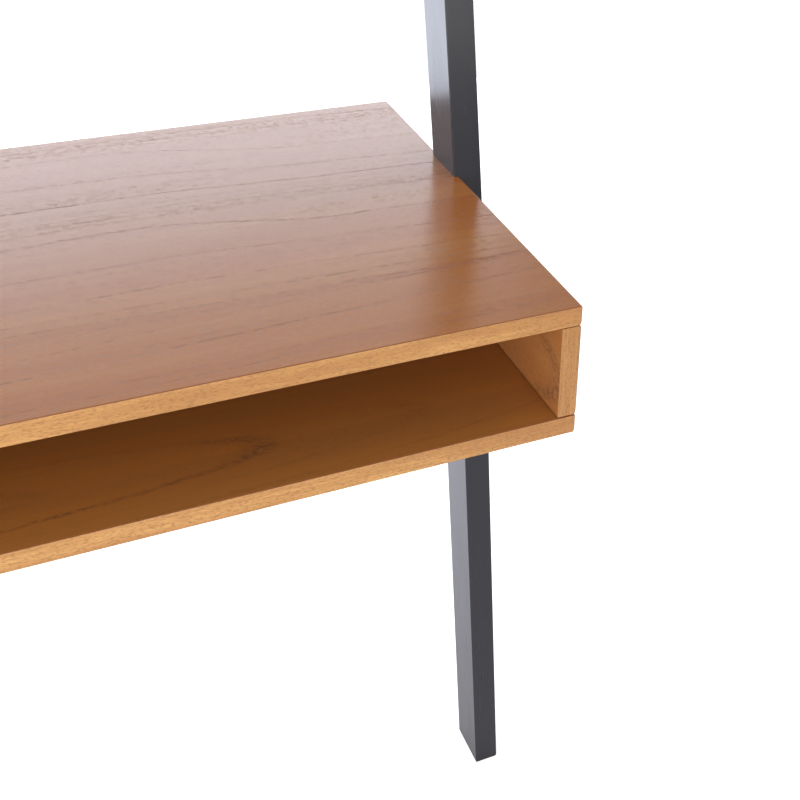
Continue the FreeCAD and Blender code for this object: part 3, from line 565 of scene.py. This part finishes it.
rubber, tree = new_material("foot_rubber")
grain = speckle(tree, own_place(tree), 1500.0, 3.0)
dust = fade(tree, speckle(tree, own_place(tree), 90.0, 4.0), 0.45, 0.75, 0.0, 0.4)
close_material(tree, blend_colours(tree, dust, RUBBER, DUSTY_RUBBER),
               fade(tree, grain, 0.3, 0.7, 0.62, 0.85), grain, 0.5, 0.1 * MM)
for pad in ("foot_pad_left", "foot_pad_right"):
    dress_node(pad, rubber)

# --- Tenons ---
# Loose tenons of plain beech, pressed and milled, glued into mortises across each joint.
# They stay bare, and show only when the desk is taken apart.

BEECH_COLOURS = ((0.66, 0.42, 0.22, 1), (0.55, 0.33, 0.16, 1), (0.34, 0.18, 0.08, 1))
beech = make_veneer("tenon_beech", None, (0.4, 0, 0.7), UPWARDS, BACKWARDS,
                    BEECH_COLOURS, 0.55, 0.6, scale=(0.35, 0.35, 0.35), belt=0.6)
for tenons in ("panel_tenons", "knee_tenons"):
    dress_node(tenons, beech)

# --- Bolts and screws ---
# Zinc-plated steel with a hexagon socket: turned blanks with a rolled thread. The leg bolts
# go from inside the box into the legs, the shelf bolts through the legs into the shelves,
# and the small screws hold the wall straps.

THREAD_STEPS = 20
ROUND_STEPS = 32
LEAD_IN = 0.8 * MM
RIDGE_SHARE = 0.38
STEP = 0.01 * MM
ZINC = (0.60, 0.61, 0.63, 1)
YELLOWED_ZINC = (0.66, 0.64, 0.58, 1)

zinc, tree = new_material("zinc_plate")
cloud = speckle(tree, own_place(tree), 260.0, 3.0)
scuff = speckle(tree, own_place(tree), 2400.0, 2.0)
close_material(tree, blend_colours(tree, fade(tree, cloud, 0.35, 0.65), ZINC, YELLOWED_ZINC),
               fade(tree, cloud, 0.3, 0.7, 0.24, 0.38), scuff, 0.15, 0.03 * MM, metallic=1.0)


def lathe(tree, profile):
    """A closed turned shape. The profile is a list of (height, radius) along Z."""
    index = put(tree, "GeometryNodeInputIndex").outputs[0]
    steps = []
    for way in (0, 1):
        choice = put(tree, "GeometryNodeIndexSwitch", data_type="FLOAT")
        choice.index_switch_items.clear()
        tree.links.new(index, choice.inputs[0])
        for number, point in enumerate(profile):
            choice.index_switch_items.new()
            if isinstance(point[way], bpy.types.NodeSocket):
                tree.links.new(point[way], choice.inputs[number + 1])
            else:
                choice.inputs[number + 1].default_value = point[way]
        steps.append(choice.outputs[0])
    line = put(tree, "GeometryNodeMeshLine", {"Count": len(profile)}).outputs[0]
    place = put(tree, "ShaderNodeCombineXYZ", {"Z": steps[0]}).outputs[0]
    line = put(tree, "GeometryNodeSetPosition", {"Geometry": line, "Position": place}).outputs[0]
    curve = put(tree, "GeometryNodeMeshToCurve", {"Mesh": line}).outputs[0]
    circle = put(tree, "GeometryNodeCurvePrimitiveCircle", {
        "Resolution": ROUND_STEPS, "Radius": 1.0}).outputs[0]
    return put(tree, "GeometryNodeCurveToMesh", {
        "Curve": curve, "Profile Curve": circle, "Scale": steps[1], "Fill Caps": True}).outputs[0]


def thread(tree, radius, pitch, start, end):
    """A helical ridge round Z, half sunk into a shank of the given radius."""
    length = reckon(tree, "SUBTRACT", end, start)
    spiral = put(tree, "GeometryNodeCurveSpiral", {
        "Resolution": THREAD_STEPS, "Rotations": reckon(tree, "DIVIDE", length, pitch),
        "Start Radius": radius, "End Radius": radius, "Height": length}).outputs[0]
    spiral = put(tree, "GeometryNodeSetCurveNormal", {"Curve": spiral}, mode="Z_UP").outputs[0]
    ridge = put(tree, "GeometryNodeCurvePrimitiveCircle", {
        "Resolution": 4, "Radius": reckon(tree, "MULTIPLY", pitch, RIDGE_SHARE)}).outputs[0]
    turns = put(tree, "GeometryNodeCurveToMesh", {
        "Curve": spiral, "Profile Curve": ridge, "Fill Caps": True}).outputs[0]
    lift = put(tree, "ShaderNodeCombineXYZ", {"Z": start}).outputs[0]
    return put(tree, "GeometryNodeTransform", {"Geometry": turns, "Translation": lift}).outputs[0]


def prism(tree, sides, radius, height, middle):
    """An upright prism whose middle lies at a height on Z."""
    solid = put(tree, "GeometryNodeMeshCylinder", {
        "Vertices": sides, "Radius": radius, "Depth": height}).outputs["Mesh"]
    lift = put(tree, "ShaderNodeCombineXYZ", {"Z": middle}).outputs[0]
    return put(tree, "GeometryNodeTransform", {"Geometry": solid, "Translation": lift}).outputs[0]


def cut_away(tree, solid, tool):
    cut = put(tree, "GeometryNodeMeshBoolean", operation="DIFFERENCE", solver="EXACT")
    tree.links.new(solid, cut.inputs[0])
    tree.links.new(tool, cut.inputs[1])
    return cut.outputs["Mesh"]


def set_out(tree, parts, spots, material):
    """Join the parts, set a copy at each spot along its aim, and make them one plain mesh."""
    together = put(tree, "GeometryNodeJoinGeometry")
    for part in parts:
        tree.links.new(part, together.inputs[0])
    aim = put(tree, "GeometryNodeInputNamedAttribute", {"Name": "aim"},
              data_type="FLOAT_VECTOR").outputs[0]
    turn = put(tree, "FunctionNodeAlignRotationToVector", {"Vector": aim}, axis="Z").outputs[0]
    copies = put(tree, "GeometryNodeInstanceOnPoints", {
        "Points": spots, "Instance": together.outputs[0], "Rotation": turn}).outputs[0]
    copies = put(tree, "GeometryNodeRealizeInstances", {"Geometry": copies}).outputs[0]
    copies = put(tree, "GeometryNodeSetMaterial", {
        "Geometry": copies, "Material": material}).outputs[0]
    put(tree, "NodeGroupOutput", {"Geometry": copies})
    return tree


def make_bolt_tree():
    tree, given = new_group("socket_bolts", {
        "Spots": "Geometry", "Head radius": "Float", "Head height": "Float", "Head edge": "Float",
        "Shank radius": "Float", "Length": "Float", "Plain shank": "Float", "Pitch": "Float",
        "Socket radius": "Float", "Socket depth": "Float", "Finish": "Material"},
        {"Geometry": "Geometry"}, "GeometryNodeTree")
    top = reckon(tree, "MULTIPLY", given["Head height"], -1.0)
    ridge = reckon(tree, "MULTIPLY", given["Pitch"], RIDGE_SHARE)
    core = reckon(tree, "SUBTRACT", given["Shank radius"], ridge)
    threaded_to = reckon(tree, "SUBTRACT", given["Length"], LEAD_IN)
    blank = lathe(tree, [
        (top, reckon(tree, "SUBTRACT", given["Head radius"], given["Head edge"])),
        (reckon(tree, "ADD", top, given["Head edge"]), given["Head radius"]),
        (-STEP, given["Head radius"]),
        (0.0, given["Shank radius"]),
        (given["Plain shank"], given["Shank radius"]),
        (reckon(tree, "ADD", given["Plain shank"], ridge), core),
        (threaded_to, core),
        (given["Length"], reckon(tree, "SUBTRACT", core, 0.5 * LEAD_IN))])
    socket = prism(tree, 6, given["Socket radius"],
                   reckon(tree, "MULTIPLY", given["Socket depth"], 2.0), top)
    turns = thread(tree, core, given["Pitch"],
                   reckon(tree, "ADD", given["Plain shank"], given["Pitch"]),
                   reckon(tree, "SUBTRACT", threaded_to, ridge))
    return set_out(tree, [cut_away(tree, blank, socket), turns], given["Spots"], given["Finish"])


def solid_boxes(node):
    """The low and high corners of each separate solid in a node."""
    shape = bmesh.new()
    shape.from_mesh(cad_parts[node].data)
    bmesh.ops.remove_doubles(shape, verts=shape.verts, dist=WELD)
    boxes, left = [], set(shape.verts)
    while left:
        reached, fresh = set(), [left.pop()]
        while fresh:
            corner = fresh.pop()
            reached.add(corner)
            for edge in corner.link_edges:
                other = edge.other_vert(corner)
                if other in left:
                    left.remove(other)
                    fresh.append(other)
        places = [corner.co for corner in reached]
        boxes.append([Vector(edge(place[axis] for place in places) for axis in range(3))
                      for edge in (min, max)])
    shape.free()
    return sorted(boxes, key=lambda box: tuple(box[0]))


def grow(tree, name, node, spots, sizes, finish):
    """Run a tree over spots, each a (place, aim), and keep the result as a plain mesh."""
    mesh = bpy.data.meshes.new(f"{name}_spots")
    mesh.from_pydata([place for place, aim in spots], [], [])
    aims = mesh.attributes.new("aim", "FLOAT_VECTOR", "POINT")
    for number, (place, aim) in enumerate(spots):
        aims.data[number].vector = aim
    seed = stand(f"{name}_spots", mesh)
    modifier = seed.modifiers.new("parts", "NODES")
    modifier.node_group = tree
    settings = dict(sizes, Finish=finish)
    for item in tree.interface.items_tree:
        if item.in_out == "INPUT" and item.name in settings:
            modifier[item.identifier] = settings[item.name]
    grown = seed.evaluated_get(bpy.context.evaluated_depsgraph_get())
    done = bpy.data.meshes.new_from_object(grown)
    done.name = name
    bpy.data.objects.remove(seed)
    bpy.data.meshes.remove(mesh)
    piece = stand(name, done)
    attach(piece, "root")
    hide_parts(node)


def bolt_spots(node, head_height, outwards):
    """Where each bolt's head bears, and the way that its shank points."""
    spots = []
    for low, high in solid_boxes(node):
        middle = (low + high) / 2
        side = 1 if middle.x > 0 else -1
        aim = side * outwards
        head_end = low.x if aim > 0 else high.x
        spots.append(((head_end + aim * head_height, middle.y, middle.z), (aim, 0, 0)))
    return spots


BOLT_TREE = make_bolt_tree()
# Each entry: the node, which way its shanks point (1 is outwards), and its sizes in millimetres.
BOLTS = (
    ("leg_bolts", 1, {
        "Head radius": 7.0, "Head height": 2.0, "Head edge": 0.6, "Plain shank": 3.0,
        "Shank radius": 3.0, "Pitch": 1.0, "Socket radius": 2.31, "Socket depth": 1.6}),
    ("shelf_bolts", -1, {
        "Head radius": 5.0, "Head height": 6.0, "Head edge": 0.6, "Plain shank": 21.0,
        "Shank radius": 3.0, "Pitch": 1.0, "Socket radius": 2.31, "Socket depth": 3.0}),
    ("bracket_screws", 1, {
        "Head radius": 4.0, "Head height": 2.4, "Head edge": 0.9, "Plain shank": 2.5,
        "Shank radius": 2.0, "Pitch": 1.4, "Socket radius": 1.155, "Socket depth": 1.6}))
for node, outwards, sizes in BOLTS:
    low, high = solid_boxes(node)[0]
    sizes = {name: size * MM for name, size in sizes.items()}
    sizes["Length"] = high.x - low.x - sizes["Head height"]
    spots = bolt_spots(node, sizes["Head height"], outwards)
    grow(BOLT_TREE, f"{node}_steel", node, spots, sizes, zinc)

# --- Threaded inserts ---
# Zinc-plated sleeves, screwed into the legs by their coarse outer thread. The leg bolts run
# into the bore.

INSERT_SHOULDER = 0.8 * MM
INSERT_PITCH = 2.0 * MM
M6_BORE_RADIUS = 3.02 * MM


def make_insert_tree():
    tree, given = new_group("inserts", {
        "Spots": "Geometry", "Radius": "Float", "Length": "Float", "Bore radius": "Float",
        "Pitch": "Float", "Finish": "Material"}, {"Geometry": "Geometry"}, "GeometryNodeTree")
    ridge = reckon(tree, "MULTIPLY", given["Pitch"], RIDGE_SHARE)
    core = reckon(tree, "SUBTRACT", given["Radius"], ridge)
    half = reckon(tree, "MULTIPLY", given["Length"], 0.5)
    start = reckon(tree, "MULTIPLY", half, -1.0)
    shoulder = reckon(tree, "ADD", start, INSERT_SHOULDER)
    sleeve = lathe(tree, [
        (start, given["Radius"]), (shoulder, given["Radius"]),
        (reckon(tree, "ADD", shoulder, STEP), core),
        (reckon(tree, "SUBTRACT", half, LEAD_IN), core),
        (half, reckon(tree, "SUBTRACT", core, 0.4 * LEAD_IN))])
    bore = prism(tree, ROUND_STEPS, given["Bore radius"],
                 reckon(tree, "MULTIPLY", given["Length"], 1.2), 0.0)
    turns = thread(tree, core, given["Pitch"], reckon(tree, "ADD", shoulder, ridge),
                   reckon(tree, "SUBTRACT", half, reckon(tree, "ADD", ridge, LEAD_IN)))
    return set_out(tree, [cut_away(tree, sleeve, bore), turns], given["Spots"], given["Finish"])


boxes = solid_boxes("leg_inserts")
spots = [((low + high) / 2, (1 if low.x > 0 else -1, 0, 0)) for low, high in boxes]
low, high = boxes[0]
grow(make_insert_tree(), "leg_inserts_steel", "leg_inserts", spots, {
    "Radius": (high.z - low.z) / 2, "Length": high.x - low.x, "Bore radius": M6_BORE_RADIUS,
    "Pitch": INSERT_PITCH}, zinc)

# --- Barrel nuts ---
# Short zinc-plated rods that stand in the shelves' ends. Each is drilled across for its
# bolt, and slotted at one end so that a driver can turn the bore into line.

NUT_EDGE = 0.5 * MM
SLOT_WIDTH, SLOT_DEPTH = 1.4 * MM, 1.6 * MM


def make_nut_tree():
    tree, given = new_group("barrel_nuts", {
        "Spots": "Geometry", "Radius": "Float", "Length": "Float", "Bore radius": "Float",
        "Slot width": "Float", "Slot depth": "Float", "Finish": "Material"},
        {"Geometry": "Geometry"}, "GeometryNodeTree")
    half = reckon(tree, "MULTIPLY", given["Length"], 0.5)
    start = reckon(tree, "MULTIPLY", half, -1.0)
    rim = reckon(tree, "SUBTRACT", given["Radius"], NUT_EDGE)
    rod = lathe(tree, [
        (start, rim), (reckon(tree, "ADD", start, NUT_EDGE), given["Radius"]),
        (reckon(tree, "SUBTRACT", half, NUT_EDGE), given["Radius"]), (half, rim)])
    right_through = reckon(tree, "MULTIPLY", given["Radius"], 3.0)
    bore = put(tree, "GeometryNodeTransform", {
        "Geometry": prism(tree, ROUND_STEPS, given["Bore radius"], right_through, 0.0),
        "Rotation": (0, math.pi / 2, 0)}).outputs[0]
    tool = put(tree, "ShaderNodeCombineXYZ", {
        "X": right_through, "Y": given["Slot width"],
        "Z": reckon(tree, "MULTIPLY", given["Slot depth"], 2.0)}).outputs[0]
    slot = put(tree, "GeometryNodeMeshCube", {"Size": tool}).outputs["Mesh"]
    lift = put(tree, "ShaderNodeCombineXYZ", {"Z": start}).outputs[0]
    slot = put(tree, "GeometryNodeTransform", {"Geometry": slot, "Translation": lift}).outputs[0]
    rod = cut_away(tree, cut_away(tree, rod, bore), slot)
    return set_out(tree, [rod], given["Spots"], given["Finish"])


boxes = solid_boxes("shelf_barrel_nuts")
spots = [((low + high) / 2, (0, 0, 1)) for low, high in boxes]
low, high = boxes[0]
grow(make_nut_tree(), "shelf_barrel_nuts_steel", "shelf_barrel_nuts", spots, {
    "Radius": (high.x - low.x) / 2, "Length": high.z - low.z, "Bore radius": M6_BORE_RADIUS,
    "Slot width": SLOT_WIDTH, "Slot depth": SLOT_DEPTH}, zinc)

# --- Wall straps ---
# Steel strip bent square and powder-coated black, one strap to a leg. A small screw holds one
# arm to the leg, and the other lies flat on the wall with a hole for the buyer's own screw.

STRAP_COAT = (0.016, 0.016, 0.017, 1)
STRAP_COAT_HIGHS = (0.028, 0.028, 0.029, 1)

coat, tree = new_material("strap_powder_coat")
skin = put(tree, "ShaderNodeGroup", {
    "Place": own_place(tree), "Peel size": 0.9 * MM, "Streaks": 0.0}, node_tree=SPRAYED_SKIN)
close_material(tree, blend_colours(tree, skin.outputs["Height"], STRAP_COAT, STRAP_COAT_HIGHS),
               reckon(tree, "ADD", skin.outputs["Roughness"], 0.48),
               skin.outputs["Height"], 0.35, 0.06 * MM)
dress_node("wall_brackets", coat)

# --- Room ---
# A pale floor that fades into a white room. The lamps are large and soft: a window's worth of
# light from the left, a low strip in front, a ceiling, and a wide pale wall behind.

FLOOR_REACH = 8
GLOW_IN_GLOSS, GLOW_SEEN = 1.05, 0.62
GLOW_STARTS, GLOW_IS_FULL = -0.3, 0.8

floor_mesh = bpy.data.meshes.new("floor")
floor_mesh.from_pydata([(x * FLOOR_REACH, y * FLOOR_REACH, 0)
                        for x, y in ((-1, -1), (1, -1), (1, 1), (-1, 1))], [], [(0, 1, 2, 3)])
floor = stand("floor", floor_mesh)
floor_material, tree = new_material("pale_floor")
matt = put(tree, "ShaderNodeBsdfDiffuse", {"Color": (0.86, 0.86, 0.86, 1)})
path = put(tree, "ShaderNodeLightPath").outputs
glow = put(tree, "ShaderNodeEmission", {
    "Color": blend_colours(tree, path["Is Camera Ray"], (0.78, 0.80, 1.0, 1), (1, 1, 1, 1)),
    "Strength": fade(tree, path["Is Camera Ray"], 0.0, 1.0, GLOW_IN_GLOSS, GLOW_SEEN)})
behind = fade(tree, put(tree, "ShaderNodeSeparateXYZ", {
    "Vector": own_place(tree)}).outputs[1], GLOW_STARTS, GLOW_IS_FULL)
mirrored = reckon(tree, "MULTIPLY", path["Is Glossy Ray"], behind)
seen = put(tree, "ShaderNodeMixShader", {0: reckon(tree, "MAXIMUM", path["Is Camera Ray"], mirrored),
                                         1: matt.outputs[0]})
both = put(tree, "ShaderNodeAddShader", {0: matt.outputs[0], 1: glow.outputs[0]})
tree.links.new(both.outputs[0], seen.inputs[2])
put(tree, "ShaderNodeOutputMaterial", {"Surface": seen.outputs[0]})
floor_mesh.materials.append(floor_material)

world = bpy.data.worlds.new("studio")
bpy.context.scene.world = world
world.use_nodes = True
tree = world.node_tree
tree.nodes.clear()
path = put(tree, "ShaderNodeLightPath").outputs
dim = put(tree, "ShaderNodeBackground", {"Color": (0.98, 0.97, 1.0, 1), "Strength": 0.54})
white = put(tree, "ShaderNodeBackground", {"Color": (1, 1, 1, 1), "Strength": 1.0})
mixed = put(tree, "ShaderNodeMixShader", {
    0: path["Is Camera Ray"], 1: dim.outputs[0], 2: white.outputs[0]})
put(tree, "ShaderNodeOutputWorld", {"Surface": mixed.outputs[0]})


def softbox(name, place, target, width, height, radiance, colour=(1, 1, 1)):
    """A rectangular lamp that looks as bright as `radiance`, where 1 is white."""
    lamp = bpy.data.lights.new(name, "AREA")
    lamp.shape = "RECTANGLE"
    lamp.size = width
    lamp.size_y = height
    lamp.energy = radiance * math.pi * width * height
    lamp.color = colour
    holder = stand(name, lamp)
    holder.location = place
    holder.rotation_euler = (Vector(target) - Vector(place)).to_track_quat("-Z", "Y").to_euler()
    holder.visible_camera = False


softbox("key", (-1.9, -1.3, 1.1), (0.2, -0.1, 0.75), 1.5, 1.4, 5.1)
softbox("front", (-0.2, -2.3, 1.12), (-0.2, 0, 1.12), 3.6, 0.74, 2.35)
softbox("ceiling", (-0.5, 0.3, 3.8), (-0.3, 0.1, 0), 3.0, 3.0, 0.8)
softbox("low_rear", (-0.1, 2.2, 0.65), (-0.1, 0, 0.65), 3.1, 1.3, 2.5, (0.83, 0.90, 1.0))
softbox("rear", (-0.1, 2.2, 1.63), (-0.1, 0, 1.63), 3.1, 0.66, 3.45, (0.71, 0.86, 1.0))
softbox("high_rear", (-0.1, 2.2, 2.68), (-0.1, 0, 2.68), 3.1, 1.44, 0.68, (1.0, 0.96, 0.90))

bpy.context.scene.view_settings.view_transform = "Standard"
